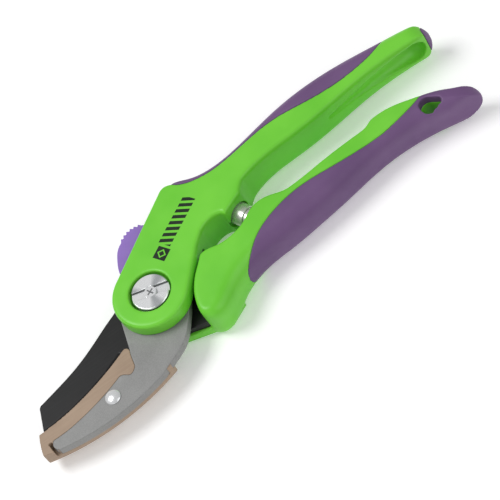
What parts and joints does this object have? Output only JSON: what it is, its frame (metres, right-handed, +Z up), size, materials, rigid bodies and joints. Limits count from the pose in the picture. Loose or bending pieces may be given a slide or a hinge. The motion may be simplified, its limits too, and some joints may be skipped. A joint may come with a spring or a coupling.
{
  "type": "pruning shears",
  "caption": "Anvil pruning shears, closed and locked, with two soft-grip handles, a flat blade, a plastic anvil and a thumb lock.",
  "frame": {"origin": "on the pivot's axis, in the flat face of the bolt head that the shears rest on", "axes": "+X towards the ends of the grips, +Y towards the upper handle, +Z up along the pivot"},
  "size_m": [0.2042, 0.0724, 0.0182],
  "materials": {
    "green_plastic": "satin moulded plastic",
    "purple_grip": "matt soft grip",
    "purple_plastic": "matt moulded plastic",
    "grey_jaw": "satin grey coating",
    "tan_plastic": "matt moulded plastic",
    "bright_steel": "zinc plated",
    "chrome": "bright plated",
    "spring_steel": "polished strip",
    "bronze_bushing": "sintered bronze",
    "black_coating": "matt non-stick coating",
    "white_nylon": "natural nylon"
  },
  "bodies": {
    "anvil_side": {"upper_handle": "green_plastic", "upper_grip": "purple_grip", "anvil_jaw": "grey_jaw", "anvil_insert": "tan_plastic", "anvil_rivet": "bright_steel", "jaw_tang_rivets": "bright_steel", "pivot_bolt": "bright_steel", "pivot_nut": "chrome", "spring_washer": "bright_steel", "bolt_washer": "bright_steel", "pivot_bushing": "bronze_bushing", "volute_spring": "spring_steel", "lock_pivot_screw": "bright_steel", "friction_washer": "white_nylon"},
    "blade_side": {"cutting_blade": "black_coating", "lower_handle": "green_plastic", "lower_grip": "purple_grip", "blade_tang_rivets": "bright_steel"},
    "thumb_lock": {"lock_lever": "bright_steel", "lock_thumb_pad": "purple_plastic"}
  },
  "joints": [
    {"name": "handle_pivot", "type": "hinge", "parent": "anvil_side", "child": "blade_side", "pos_m": [0, 0, 0.0064], "axis": [0, 0, -1], "range_deg": [0, 20], "deforming": ["volute_spring"]},
    {"name": "lock_pivot", "type": "hinge", "parent": "anvil_side", "child": "thumb_lock", "pos_m": [0.013, 0.02, 0.0067], "axis": [0, 0, 1], "range_deg": [0, 10]}
  ]
}
